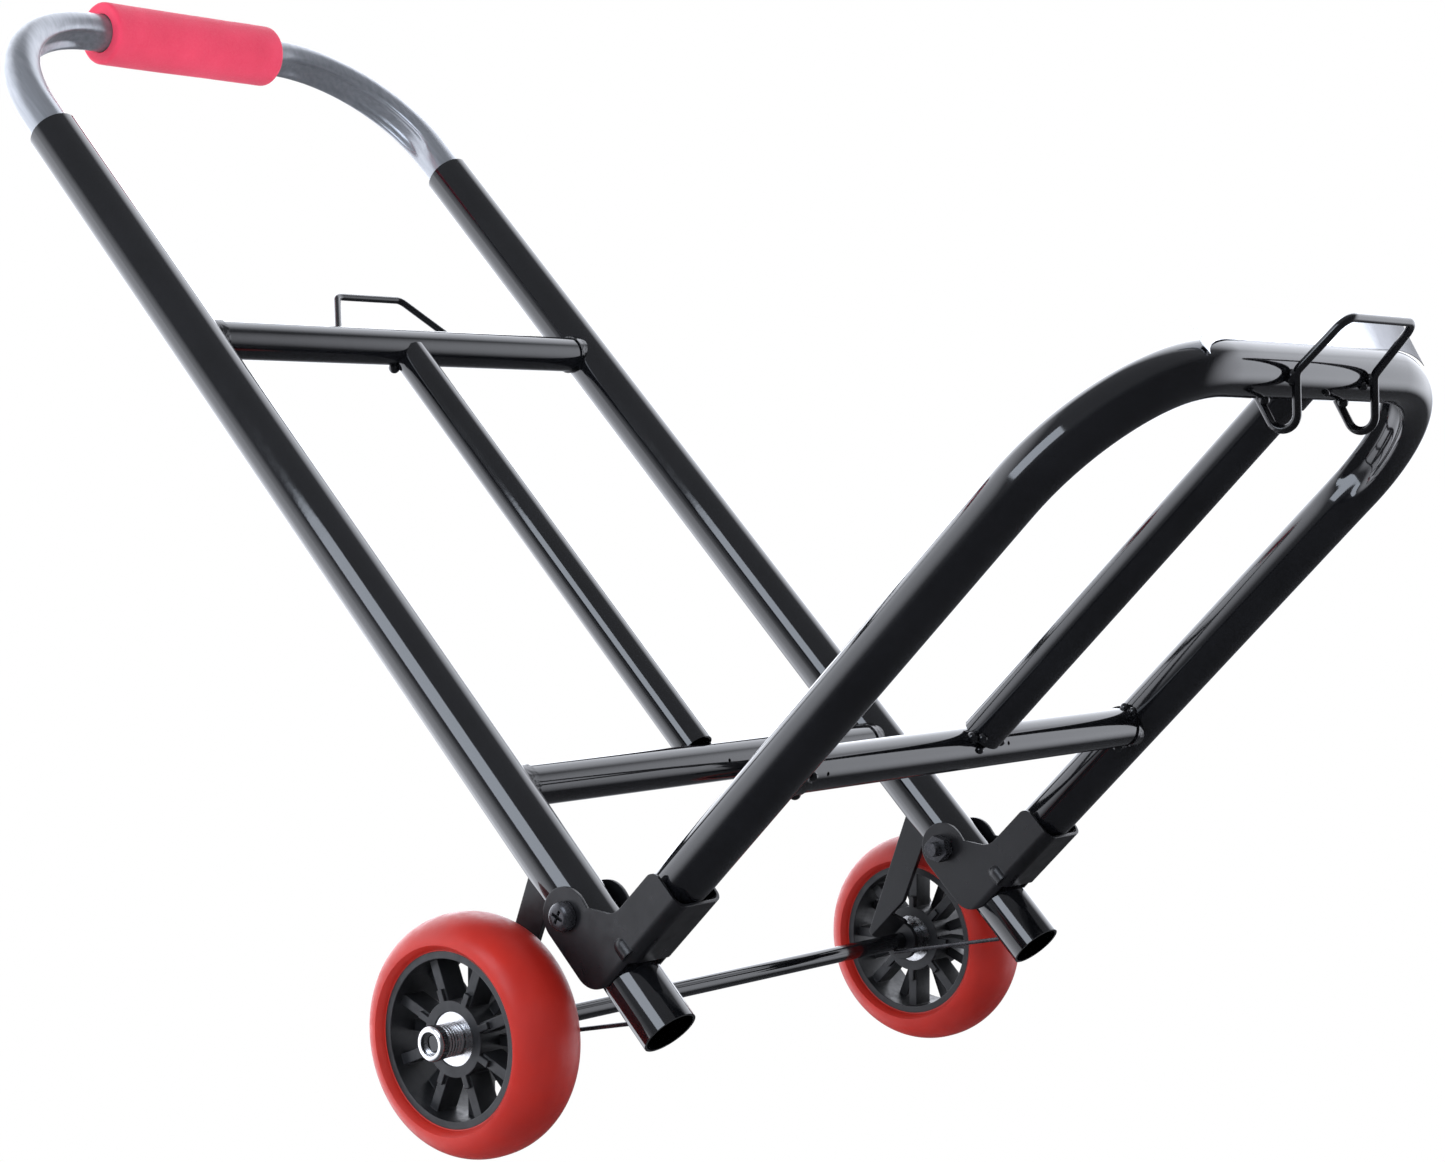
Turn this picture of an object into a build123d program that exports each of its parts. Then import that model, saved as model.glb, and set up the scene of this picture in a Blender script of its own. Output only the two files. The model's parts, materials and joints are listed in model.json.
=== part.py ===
from build123d import *
import os
from math import atan2, cos, degrees, radians, sin, sqrt

# Folding two-wheel luggage hand truck, millimetres.
# Everything is first built in a square frame: X to the truck's right, Y forward
# along the platform, Z up along the uprights, with Z = 0 at the uprights' lower
# ends. The finished pieces are then leaned forward to the pose in which the truck
# stands on its own, with +Z up from the floor.

# ---- driving dimensions -------------------------------------------------------
UPRIGHT_SPACING = 309.0          # centre to centre, also the platform leg spacing
UPRIGHT_DIAMETER = 28.0
UPRIGHT_WALL = 1.3
UPRIGHT_LENGTH = 629.0

CROSSBAR_DIAMETER = 20.5
CROSSBAR_WALL = 1.2
BRACE_DIAMETER = 19.9
BRACE_LAP = 4.7                  # how far the upright brace reaches up beside the top crossbar
VENT_HOLE_R = 1.0
TOP_CROSSBAR_HEIGHT = 464.0
LOWER_CROSSBAR_HEIGHT = 149.0

PLATFORM_DIAMETER = 25.4
PLATFORM_WALL = 1.3
PLATFORM_HEIGHT = 44.4           # tube axis above the uprights' lower ends
PLATFORM_REACH = 385.0           # toe bar axis, forward of the upright axis
PLATFORM_BEND = 76.0             # bend radius on the tube axis
PLATFORM_CROSSBAR_REACH = 131.0

HANDLE_DIAMETER = 22.0
HANDLE_WALL = 1.2
HANDLE_TOP = 730.0
HANDLE_BEND = 81.0
HANDLE_TRAVEL = 270.0
GRIP_DIAMETER = 37.4
GRIP_LENGTH = 129.0

PIVOT_HEIGHT = 72.0
PIVOT_BOLT_DIAMETER = 8.0
BRACKET_SHEET = 1.6

AXLE_DIAMETER = 9.0
AXLE_BACK = 73.3                 # axle axis behind the upright axis
AXLE_HEIGHT = 61.8
AXLE_LENGTH = 425.0

WHEEL_OFFSET = 185.8             # wheel mid-plane from the truck's centre plane
TYRE_DIAMETER = 117.0
TYRE_WIDTH = 42.6
HUB_DIAMETER = 84.0
HUB_WIDTH = 34.0

HOOK_WIRE = 4.0
STAY_WIRE = 2.2

WELD_SIZE = 0.9

# ---- clearances ---------------------------------------------------------------
WELD_SKIN = 0.03                 # keeps a weld's faces just off the tubes' faces
SLIDE_CLEARANCE = 0.06           # radial, sliding and turning fits
BODY_GAP = 0.35                  # between bodies that only pass each other

# ---- worked out from the above --------------------------------------------------
SIDE_X = UPRIGHT_SPACING / 2
UPRIGHT_R = UPRIGHT_DIAMETER / 2
UPRIGHT_BORE_R = UPRIGHT_R - UPRIGHT_WALL
CROSSBAR_R = CROSSBAR_DIAMETER / 2
BRACE_R = BRACE_DIAMETER / 2
PLATFORM_R = PLATFORM_DIAMETER / 2
HANDLE_R = HANDLE_DIAMETER / 2
GRIP_R = GRIP_DIAMETER / 2
AXLE_R = AXLE_DIAMETER / 2
TYRE_R = TYRE_DIAMETER / 2
HUB_R = HUB_DIAMETER / 2
PIVOT_R = PIVOT_BOLT_DIAMETER / 2 - 0.05
PIVOT_HOLE_R = PIVOT_R + SLIDE_CLEARANCE

RIGHT = 1
LEFT = -1


# ---- helpers ------------------------------------------------------------------
def rod(start, end, radius):
    """A solid round bar between two points."""
    start = Vector(*start)
    direction = Vector(*end) - start
    bar = Solid.make_cylinder(radius, direction.length, Plane(start, z_dir=direction))
    return Part() + bar


def tube(start, end, radius, wall):
    """A straight round tube between two points."""
    return rod(start, end, radius) - rod(start, end, radius - wall)


def bent_rod(points, bends, radius):
    """A round bar swept along straight runs joined by arcs."""
    path = FilletPolyline(*points, radius=bends)
    start_plane = Plane(path @ 0, z_dir=path % 0)
    return sweep(start_plane * Circle(radius), path=path)


def block(x_range, y_range, z_range):
    """A box between three pairs of limits."""
    size = [high - low for low, high in (x_range, y_range, z_range)]
    middle = [(low + high) / 2 for low, high in (x_range, y_range, z_range)]
    return Pos(*middle) * Box(*size)


def ring(x_start, x_end, outer_radius, inner_radius, y=0.0, z=0.0):
    """A round sleeve or washer about an axis along X."""
    outer = rod((x_start, y, z), (x_end, y, z), outer_radius)
    return outer - rod((x_start, y, z), (x_end, y, z), inner_radius)


def on_side(shape, side):
    """A piece built for the right-hand side, mirrored where it sits on the left."""
    return shape if side == RIGHT else mirror(shape, about=Plane.YZ)


def joined(shapes):
    """Separate solids that share one node, such as identical fasteners."""
    return Compound(children=[solid for shape in shapes for solid in shape.solids()])


def largest(shape):
    """The main solid left after a cut, without the slivers."""
    return shape.solids().sort_by(SortBy.VOLUME)[-1]


# ---- upright frame ------------------------------------------------------------
def upright(side):
    x = side * SIDE_X
    body = tube((x, 0, 0), (x, 0, UPRIGHT_LENGTH), UPRIGHT_R, UPRIGHT_WALL)
    reach = UPRIGHT_R + 1
    bolt_hole = rod((x - reach, 0, PIVOT_HEIGHT), (x + reach, 0, PIVOT_HEIGHT), PIVOT_R)
    return body - bolt_hole


def crossbar(y, z, cut_radius):
    """A tube from side to side, its ends shaped to the round tubes it meets."""
    reach = SIDE_X - cut_radius * 0.4
    return tube((-reach, y, z), (reach, y, z), CROSSBAR_R, CROSSBAR_WALL)


def upright_cylinders(skin=0.0):
    return [
        rod((side * SIDE_X, 0, 0), (side * SIDE_X, 0, UPRIGHT_LENGTH), UPRIGHT_R + skin)
        for side in (LEFT, RIGHT)
    ]


def vent_hole(x, y, z, below_forward):
    """A pin through one wall of a crossbar: the hole that lets welding gas out."""
    outward = Vector(0, cos(radians(below_forward)), -sin(radians(below_forward)))
    start = Vector(x, y, z) + outward * (CROSSBAR_R - CROSSBAR_WALL - 1)
    end = start + outward * (CROSSBAR_WALL + 2)
    return rod((start.X, start.Y, start.Z), (end.X, end.Y, end.Z), VENT_HOLE_R)


def frame_crossbar(height):
    bar = crossbar(0, height, UPRIGHT_R)
    for post in upright_cylinders():
        bar -= post
    if height == LOWER_CROSSBAR_HEIGHT:
        bar -= vent_hole(-6.9, 0, height, 36)
    return largest(bar)


def center_brace():
    """The upright brace: cut square where it stands on the lower crossbar, and
    notched to lap both sides of the top crossbar."""
    foot = LOWER_CROSSBAR_HEIGHT + CROSSBAR_R - 0.1
    top = TOP_CROSSBAR_HEIGHT - CROSSBAR_R + BRACE_LAP
    bar = tube((0, 0, foot), (0, 0, top), BRACE_R, CROSSBAR_WALL)
    for height in (LOWER_CROSSBAR_HEIGHT, TOP_CROSSBAR_HEIGHT):
        bar -= rod((-40, 0, height), (40, 0, height), CROSSBAR_R)
    return largest(bar)


def weld_bead(start, direction, radius, cutters):
    """A thin run of weld round a tube of this radius, where it meets its neighbour."""
    end = Vector(*start) + Vector(*direction)
    bead = rod(start, (end.X, end.Y, end.Z), radius + WELD_SIZE)
    bead -= rod(start, (end.X, end.Y, end.Z), radius + WELD_SKIN)
    for cutter in cutters:
        bead -= cutter
    return largest(bead)


def weld_lumps(places, cutters):
    """Drops of weld metal at the corners between tubes, each with its own size."""
    lumps = []
    for x, y, z, radius in places:
        lump = Pos(x, y, z) * Rot(0, 0, 90) * Sphere(radius)
        for cutter in cutters:
            lump -= cutter
        lumps.append(largest(lump))
    return lumps


def frame_welds():
    posts = upright_cylinders(WELD_SKIN)
    crossbars = [
        rod((-SIDE_X, 0, height), (SIDE_X, 0, height), CROSSBAR_R + WELD_SKIN)
        for height in (TOP_CROSSBAR_HEIGHT, LOWER_CROSSBAR_HEIGHT)
    ]
    brace = rod((0, 0, LOWER_CROSSBAR_HEIGHT), (0, 0, TOP_CROSSBAR_HEIGHT), BRACE_R + WELD_SKIN)
    beads = []
    for height in (TOP_CROSSBAR_HEIGHT, LOWER_CROSSBAR_HEIGHT):
        for side in (LEFT, RIGHT):
            start = (side * (SIDE_X - UPRIGHT_R - 1.2), 0, height)
            beads.append(weld_bead(start, (side * 8, 0, 0), CROSSBAR_R, posts))
    under_top = TOP_CROSSBAR_HEIGHT - CROSSBAR_R
    over_lower = LOWER_CROSSBAR_HEIGHT + CROSSBAR_R
    places = [
        (8.5, -8.0, under_top + 1.8, 3.2),
        (-8.5, -8.0, under_top + 1.8, 2.6),
        (10.4, 0.5, over_lower + 0.6, 2.0),
        (-10.4, -1.0, over_lower + 0.6, 2.0),
    ]
    return joined(beads + weld_lumps(places, posts + crossbars + [brace]))


REAR_HOOK_HALF_WIDTH = 45.0
REAR_HOOK_TOP_HALF_WIDTH = 25.0
REAR_HOOK_RISE = 30.5


def rear_hook():
    """The wire loop standing on the top crossbar."""
    foot = TOP_CROSSBAR_HEIGHT + CROSSBAR_R
    top = foot + REAR_HOOK_RISE
    wire_r = HOOK_WIRE / 2
    points = [
        (REAR_HOOK_HALF_WIDTH + 2, 0, foot - 4),
        (REAR_HOOK_TOP_HALF_WIDTH, 0, top),
        (-REAR_HOOK_TOP_HALF_WIDTH, 0, top),
        (-REAR_HOOK_HALF_WIDTH - 2, 0, foot - 4),
    ]
    loop = bent_rod(points, 6.0, wire_r)
    loop -= rod((-80, 0, TOP_CROSSBAR_HEIGHT), (80, 0, TOP_CROSSBAR_HEIGHT), CROSSBAR_R)
    return largest(loop)


# ---- telescoping handle -----------------------------------------------------------
BUSH_LENGTH = 25.0
PLUG_LENGTH = 20.0
HANDLE_FOOT = UPRIGHT_LENGTH - BUSH_LENGTH - HANDLE_TRAVEL - 1.0


def guide_bush(side):
    """The nylon sleeve inside the top of an upright that the handle slides in."""
    x = side * SIDE_X
    bottom = UPRIGHT_LENGTH - BUSH_LENGTH
    sleeve = rod((x, 0, bottom), (x, 0, UPRIGHT_LENGTH), UPRIGHT_BORE_R)
    return sleeve - rod((x, 0, bottom), (x, 0, UPRIGHT_LENGTH), HANDLE_R + SLIDE_CLEARANCE)


def handle_tube():
    points = [
        (SIDE_X, 0, HANDLE_FOOT),
        (SIDE_X, 0, HANDLE_TOP),
        (-SIDE_X, 0, HANDLE_TOP),
        (-SIDE_X, 0, HANDLE_FOOT),
    ]
    outer = bent_rod(points, HANDLE_BEND, HANDLE_R)
    return outer - bent_rod(points, HANDLE_BEND, HANDLE_R - HANDLE_WALL)


def handle_plug(side):
    """The nylon plug on the foot of a handle leg: it guides the leg and stops it."""
    x = side * SIDE_X
    collar = rod((x, 0, HANDLE_FOOT - PLUG_LENGTH), (x, 0, HANDLE_FOOT), UPRIGHT_BORE_R - SLIDE_CLEARANCE)
    spigot = rod((x, 0, HANDLE_FOOT), (x, 0, HANDLE_FOOT + PLUG_LENGTH), HANDLE_R - HANDLE_WALL)
    return collar + spigot


def foam_grip():
    half = GRIP_LENGTH / 2
    body = rod((-half, 0, HANDLE_TOP), (half, 0, HANDLE_TOP), GRIP_R)
    body = fillet(body.edges().filter_by(GeomType.CIRCLE), 3.0)
    return body - rod((-half, 0, HANDLE_TOP), (half, 0, HANDLE_TOP), HANDLE_R)


# ---- platform -------------------------------------------------------------------
LEG_START = UPRIGHT_R + 4.0
TOE_HOOK_X = 37.0
TOE_PLATE_HALF_WIDTH = 101.0


def platform_path():
    return [
        (SIDE_X, LEG_START, PLATFORM_HEIGHT),
        (SIDE_X, PLATFORM_REACH, PLATFORM_HEIGHT),
        (-SIDE_X, PLATFORM_REACH, PLATFORM_HEIGHT),
        (-SIDE_X, LEG_START, PLATFORM_HEIGHT),
    ]


def platform_solid(radius):
    return bent_rod(platform_path(), PLATFORM_BEND, radius)


def platform_tube():
    return platform_solid(PLATFORM_R) - platform_solid(PLATFORM_R - PLATFORM_WALL)


def platform_crossbar():
    bar = crossbar(PLATFORM_CROSSBAR_REACH, PLATFORM_HEIGHT, PLATFORM_R)
    bar -= platform_solid(PLATFORM_R)
    bar -= vent_hole(-18.6, PLATFORM_CROSSBAR_REACH, PLATFORM_HEIGHT, 37)
    bar -= vent_hole(128.4, PLATFORM_CROSSBAR_REACH, PLATFORM_HEIGHT, 53)
    return largest(bar)


def platform_crossbar_cylinder(skin=0.0):
    start = (-SIDE_X, PLATFORM_CROSSBAR_REACH, PLATFORM_HEIGHT)
    return rod(start, (SIDE_X, PLATFORM_CROSSBAR_REACH, PLATFORM_HEIGHT), CROSSBAR_R + skin)


def toe_bar_cylinder(skin=0.0):
    start = (-60, PLATFORM_REACH, PLATFORM_HEIGHT)
    return rod(start, (60, PLATFORM_REACH, PLATFORM_HEIGHT), PLATFORM_R + skin)


def platform_brace():
    """The middle tube: cut square against the crossbar, shaped to the toe bar."""
    rear = PLATFORM_CROSSBAR_REACH + CROSSBAR_R - 0.1
    bar = tube((0, rear, PLATFORM_HEIGHT), (0, PLATFORM_REACH, PLATFORM_HEIGHT), BRACE_R, CROSSBAR_WALL)
    bar -= platform_crossbar_cylinder()
    bar -= toe_bar_cylinder()
    return largest(bar)


def toe_hook():
    """One wire: a loop ahead of the toe bar, and a V-shaped eye under it at each end."""
    half = [
        (TOE_HOOK_X, 375.0, 41.5),
        (TOE_HOOK_X, 363.9, 0.3),
        (TOE_HOOK_X, 394.9, 33.2),
        (TOE_HOOK_X - 4, 426.5, 34.0),
    ]
    points = half + [(-x, y, z) for x, y, z in reversed(half)]
    wire = bent_rod(points, [6.8, 6.0, 8.0, 8.0, 6.0, 6.8], HOOK_WIRE / 2)
    wire -= platform_solid(PLATFORM_R)
    return largest(wire)


def platform_welds():
    z = PLATFORM_HEIGHT
    rear = PLATFORM_CROSSBAR_REACH
    legs = [
        rod((side * SIDE_X, 20, z), (side * SIDE_X, 250, z), PLATFORM_R + WELD_SKIN)
        for side in (LEFT, RIGHT)
    ]
    beads = []
    for side in (LEFT, RIGHT):
        start = (side * (SIDE_X - PLATFORM_R - 1.2), rear, z)
        beads.append(weld_bead(start, (side * 8, 0, 0), CROSSBAR_R, legs))
    toe_start = (0, PLATFORM_REACH - PLATFORM_R - 1.2, z)
    beads.append(weld_bead(toe_start, (0, 7, 0), BRACE_R, [toe_bar_cylinder(WELD_SKIN)]))
    brace = rod((0, rear, z), (0, PLATFORM_REACH, z), BRACE_R + WELD_SKIN)
    crossbar_places = [
        (-141.5, rear + 8.5, z + 6.1, 2.6),
        (-142.0, rear + 10.5, z + 1.6, 2.4),
        (-141.0, rear - 9.0, z - 5.9, 2.7),
        (141.0, rear - 6.5, z - 7.6, 2.9),
        (140.5, rear + 6.6, z - 8.6, 2.4),
        (11.5, rear + 11.2, z - 2.1, 2.9),
        (8.5, rear + 13.7, z - 5.0, 2.5),
        (7.1, rear + 7.4, z - 7.4, 2.0),
        (-9.8, rear + 10.0, z - 5.4, 2.6),
    ]
    toe_places = [
        (TOE_HOOK_X, PLATFORM_REACH + 7.0, z - 11.6, 3.4),
        (TOE_HOOK_X - 4.5, PLATFORM_REACH + 4.0, z - 12.4, 2.0),
        (TOE_HOOK_X, PLATFORM_REACH - 9.7, z - 8.8, 2.6),
        (-TOE_HOOK_X, PLATFORM_REACH + 7.0, z - 11.6, 3.1),
        (-TOE_HOOK_X + 4.5, PLATFORM_REACH + 4.0, z - 12.4, 2.2),
        (-TOE_HOOK_X, PLATFORM_REACH - 9.7, z - 8.8, 2.6),
        (-2.4, PLATFORM_REACH - 0.5, z - 13.2, 1.6),
    ]
    lumps = weld_lumps(crossbar_places, legs + [platform_crossbar_cylinder(WELD_SKIN), brace])
    lumps += weld_lumps(toe_places, [toe_bar_cylinder(WELD_SKIN), toe_hook()])
    return joined(beads + lumps)


def toe_plate():
    """The sheet lip that stands up along the front of the toe bar."""
    sheet = 1.5
    low = (394.0, 42.0)
    high = (400.5, 65.6)
    angle = degrees(atan2(high[0] - low[0], high[1] - low[1]))
    height = sqrt((high[0] - low[0]) ** 2 + (high[1] - low[1]) ** 2)
    plate = Box(2 * TOE_PLATE_HALF_WIDTH, sheet, height, align=(Align.CENTER, Align.CENTER, Align.MIN))
    corners = plate.edges().filter_by(Axis.Y).group_by(Axis.Z)[-1]
    plate = fillet(corners, 2.5)
    plate = Pos(0, low[0], low[1]) * Rot(-angle, 0, 0) * plate
    plate -= platform_solid(PLATFORM_R)
    return largest(plate)


# Hinge bracket: one pressed sheet, its web under the platform leg and a flange up
# each side of the leg and the upright, drilled for the pivot bolt.
FLANGE_LOBE_R = 13.9
FLANGE_WIDE = UPRIGHT_R + BODY_GAP       # inner face beside the upright
FLANGE_TOP = 53.0
BRACKET_FRONT = 57.0
WEB_BOTTOM = PLATFORM_HEIGHT - PLATFORM_R - BRACKET_SHEET
BRACKET_CORNER_R = 6.0
RIB_R = 4.9
RIB_HEIGHT = 1.9                  # how far the rib stands out of the flange
RIB_Y = 17.0
RIB_TOP = 45.0


def flange_outline():
    """The side view of a flange, as a solid across the whole bracket."""
    lobe = Pos(0, PIVOT_HEIGHT) * Circle(FLANGE_LOBE_R)
    shank = Polygon(
        (-FLANGE_LOBE_R, PIVOT_HEIGHT),
        (-FLANGE_LOBE_R, 32.5),
        (14, 32.5),
        (16, WEB_BOTTOM),
        (BRACKET_FRONT, WEB_BOTTOM),
        (BRACKET_FRONT, FLANGE_TOP),
        (24, FLANGE_TOP),
        (FLANGE_LOBE_R - 0.6, 66.0),
        (FLANGE_LOBE_R, PIVOT_HEIGHT),
        align=None,
    )
    outline = (lobe + shank).face()
    rear_corner = [v for v in outline.vertices() if v.X < 0 and v.Y < 33]
    outline = fillet(rear_corner, 13.0)
    inner_corner = [v for v in outline.vertices() if abs(v.X - 24) < 0.5 and abs(v.Y - FLANGE_TOP) < 0.5]
    outline = fillet(inner_corner, 11.0)
    front_corner = [v for v in outline.vertices() if v.X > 50 and v.Y > 50]
    outline = fillet(front_corner, 5.0)
    return extrude(Plane.YZ * outline, amount=40, both=True)


def bracket_channel():
    """The folded sheet before it is cut to outline: a channel with rounded corners."""
    outer_half = FLANGE_WIDE + BRACKET_SHEET
    length_ranges = (-20, BRACKET_FRONT)
    outside = block((-outer_half, outer_half), length_ranges, (WEB_BOTTOM, 100))
    outside = fillet(outside.edges().filter_by(Axis.Y).group_by(Axis.Z)[0], BRACKET_CORNER_R)
    inside = block((-FLANGE_WIDE, FLANGE_WIDE), length_ranges, (WEB_BOTTOM + BRACKET_SHEET, 100))
    inside_corners = inside.edges().filter_by(Axis.Y).group_by(Axis.Z)[0]
    inside = fillet(inside_corners, BRACKET_CORNER_R - BRACKET_SHEET)
    return outside - inside


def stiffening_rib(flange_side):
    """The finger-shaped rib pressed outward near the bottom of a flange."""
    face = flange_side * (FLANGE_WIDE + BRACKET_SHEET)
    x = face - flange_side * (RIB_R - RIB_HEIGHT)
    finger = rod((x, RIB_Y, WEB_BOTTOM + 4), (x, RIB_Y, RIB_TOP - RIB_R), RIB_R)
    finger += Pos(x, RIB_Y, RIB_TOP - RIB_R) * Sphere(RIB_R)
    return finger & block(sorted((face - flange_side * 0.8, face + flange_side * 4)), (0, 40), (0, 60))


def hinge_bracket(side):
    bracket = largest(bracket_channel() & flange_outline())
    for flange_side in (LEFT, RIGHT):
        bracket += stiffening_rib(flange_side)
    bracket -= rod((0, 0, 0), (0, 0, 100), UPRIGHT_R + BODY_GAP)
    bracket -= rod((-30, 0, PIVOT_HEIGHT), (30, 0, PIVOT_HEIGHT), PIVOT_HOLE_R)
    return Pos(side * SIDE_X, 0, 0) * largest(bracket)


# ---- pivot bolts ------------------------------------------------------------------
PIVOT_HEAD_R = 7.3
PIVOT_HEAD_HEIGHT = 5.2
NUT_HEIGHT = 6.5


def pivot_bolt(side):
    """A pan-head bolt through bracket and upright, its head outboard."""
    flange_face = FLANGE_WIDE + BRACKET_SHEET + BODY_GAP
    inner_end = -flange_face - NUT_HEIGHT - 5.5
    shank = rod((SIDE_X + inner_end, 0, PIVOT_HEIGHT), (SIDE_X + flange_face, 0, PIVOT_HEIGHT), PIVOT_R)
    head_start = SIDE_X + flange_face
    head = rod((head_start, 0, PIVOT_HEIGHT), (head_start + PIVOT_HEAD_HEIGHT, 0, PIVOT_HEIGHT), PIVOT_HEAD_R)
    head = fillet(head.edges().filter_by(GeomType.CIRCLE).group_by(Axis.X)[-1], 3.6)
    slot_start = head_start + PIVOT_HEAD_HEIGHT - 2.6
    for tilt in (0, 90):
        slot = Box(4, 7.0, 1.5, align=(Align.MIN, Align.CENTER, Align.CENTER))
        head -= Pos(slot_start, 0, PIVOT_HEIGHT) * Rot(tilt + 20, 0, 0) * slot
    return on_side(shank + head, side)


def pivot_nuts():
    nuts = []
    for side in (LEFT, RIGHT):
        start = SIDE_X - FLANGE_WIDE - BRACKET_SHEET - BODY_GAP - NUT_HEIGHT
        hexagon = Plane.YZ.offset(start) * Pos(0, PIVOT_HEIGHT) * RegularPolygon(6.5, 6, major_radius=False)
        nut = extrude(hexagon, amount=NUT_HEIGHT)
        nut -= rod((start - 1, 0, PIVOT_HEIGHT), (start + NUT_HEIGHT + 1, 0, PIVOT_HEIGHT), PIVOT_R)
        nuts.append(on_side(nut, side))
    return joined(nuts)


# ---- axle and wheel arms ------------------------------------------------------------
ARM_SHEET = 3.0
ARM_WIDTH = 16.0
ARM_X = SIDE_X + 1.0
ARM_JOGGLE = 7.0
ARM_END_R = 10.5
AXLE_Y = -AXLE_BACK


def wheel_arm(side):
    """A steel strip from the back of the upright down to the axle, joggled outward."""
    top = [(-8.0, 110.4), (-81.5, 77.0), (-84.0, 66.0), (-66.0, 68.0), (-62.0, 69.4), (-8.0, 92.2)]
    upper = extrude(Plane.YZ.offset(ARM_X - ARM_SHEET / 2) * Polygon(*top, align=None), amount=ARM_SHEET)
    upper &= block((0, 300), (-95, 0), (74.0, 130))
    lower_x = ARM_X + ARM_JOGGLE - ARM_SHEET / 2
    eye = rod((lower_x, AXLE_Y, AXLE_HEIGHT), (lower_x + ARM_SHEET, AXLE_Y, AXLE_HEIGHT), ARM_END_R)
    neck = block((lower_x, lower_x + ARM_SHEET), (AXLE_Y - 10, AXLE_Y + 9), (AXLE_HEIGHT, 70.0))
    joggle_profile = Polygon(
        (ARM_X - ARM_SHEET / 2, 76.0),
        (ARM_X + ARM_SHEET / 2, 76.0),
        (lower_x + ARM_SHEET, 69.0),
        (lower_x + ARM_SHEET, 67.0),
        (lower_x, 67.0),
        (ARM_X - ARM_SHEET / 2, 74.0),
        align=None,
    )
    joggle = extrude(Plane.XZ * joggle_profile, amount=100, both=True)
    joggle &= block((0, 300), (AXLE_Y - 8.5, AXLE_Y + 10), (60, 80))
    arm = upper + joggle + neck + eye
    post = rod((SIDE_X, 0, 0), (SIDE_X, 0, UPRIGHT_LENGTH), UPRIGHT_R)
    axle = rod((0, AXLE_Y, AXLE_HEIGHT), (300, AXLE_Y, AXLE_HEIGHT), AXLE_R)
    arm = arm - post - axle
    return on_side(largest(arm), side)


def axle_rod():
    half = AXLE_LENGTH / 2
    bar = rod((-half, AXLE_Y, AXLE_HEIGHT), (half, AXLE_Y, AXLE_HEIGHT), AXLE_R)
    return chamfer(bar.edges().filter_by(GeomType.CIRCLE), 0.8)


def axle_stay(side):
    """A thin wire tie: an eye on the axle, then straight to the foot of the upright."""
    x = SIDE_X
    eye_r = AXLE_R + STAY_WIRE / 2
    eye = Plane.YZ.offset(x) * Pos(AXLE_Y, AXLE_HEIGHT) * CenterArc((0, 0), eye_r, 235, 300)
    eye_wire = sweep(Plane(eye @ 0, z_dir=eye % 0) * Circle(STAY_WIRE / 2), path=eye)
    start = eye @ 0
    run = rod((x, start.Y, start.Z), (x, -UPRIGHT_R + 4.5, 13.6), STAY_WIRE / 2)
    post = rod((SIDE_X, 0, 0), (SIDE_X, 0, UPRIGHT_LENGTH), UPRIGHT_R)
    axle = rod((0, AXLE_Y, AXLE_HEIGHT), (300, AXLE_Y, AXLE_HEIGHT), AXLE_R)
    stay = eye_wire + run - post - axle
    return on_side(largest(stay), side)


# Each wheel turns on two flanged bushes, which run on a sleeve over the axle. The
# sleeve's collar holds the wheel off its arm, and washers and a lock nut keep it on.
BUSH_FACE = 13.5                  # outer face of a wheel bush from the wheel's mid-plane
BUSH_DEPTH = 8.0
BUSH_OUTER_R = 13.0
SLEEVE_R = 6.6
COLLAR_R = 8.6
END_PLAY = 0.3


def on_wheel(shape, side):
    """Put a piece built about the X axis at the origin onto a wheel's axis."""
    return on_side(Pos(WHEEL_OFFSET, AXLE_Y, AXLE_HEIGHT) * shape, side)


def wheel_bushes(side):
    bushes = []
    for start in (-BUSH_FACE, BUSH_FACE - BUSH_DEPTH):
        bush = ring(start, start + BUSH_DEPTH, BUSH_OUTER_R, SLEEVE_R + SLIDE_CLEARANCE)
        bushes.append(bush)
    return on_wheel(joined(bushes), side)


def axle_sleeves():
    sleeves = []
    arm_face = ARM_X + ARM_JOGGLE + ARM_SHEET / 2
    inner_face = WHEEL_OFFSET - BUSH_FACE - END_PLAY
    outer_face = WHEEL_OFFSET + BUSH_FACE + END_PLAY
    for side in (LEFT, RIGHT):
        sleeve = rod((arm_face, AXLE_Y, AXLE_HEIGHT), (outer_face, AXLE_Y, AXLE_HEIGHT), SLEEVE_R)
        sleeve += rod((arm_face, AXLE_Y, AXLE_HEIGHT), (inner_face, AXLE_Y, AXLE_HEIGHT), COLLAR_R)
        sleeve -= rod((arm_face - 1, AXLE_Y, AXLE_HEIGHT), (outer_face + 1, AXLE_Y, AXLE_HEIGHT), AXLE_R)
        sleeves.append(on_side(sleeve, side))
    return joined(sleeves)


WASHER_THICKNESS = 1.9
WASHER_COUNT = 5
WASHER_R = 8.0
WASHER_START = WHEEL_OFFSET + BUSH_FACE + END_PLAY
LOCK_NUT_R = 8.5
LOCK_NUT_HEIGHT = 6.2
LOCK_NUT_MOUTH_R = 5.7


def axle_washers():
    washers = []
    for side in (LEFT, RIGHT):
        for index in range(WASHER_COUNT):
            start = WASHER_START + index * WASHER_THICKNESS
            washer = ring(start, start + WASHER_THICKNESS, WASHER_R, AXLE_R, AXLE_Y, AXLE_HEIGHT)
            washer = chamfer(washer.edges().filter_by(GeomType.CIRCLE).sort_by(SortBy.LENGTH)[-2:], 0.45)
            washers.append(on_side(washer, side))
    return joined(washers)


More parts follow.
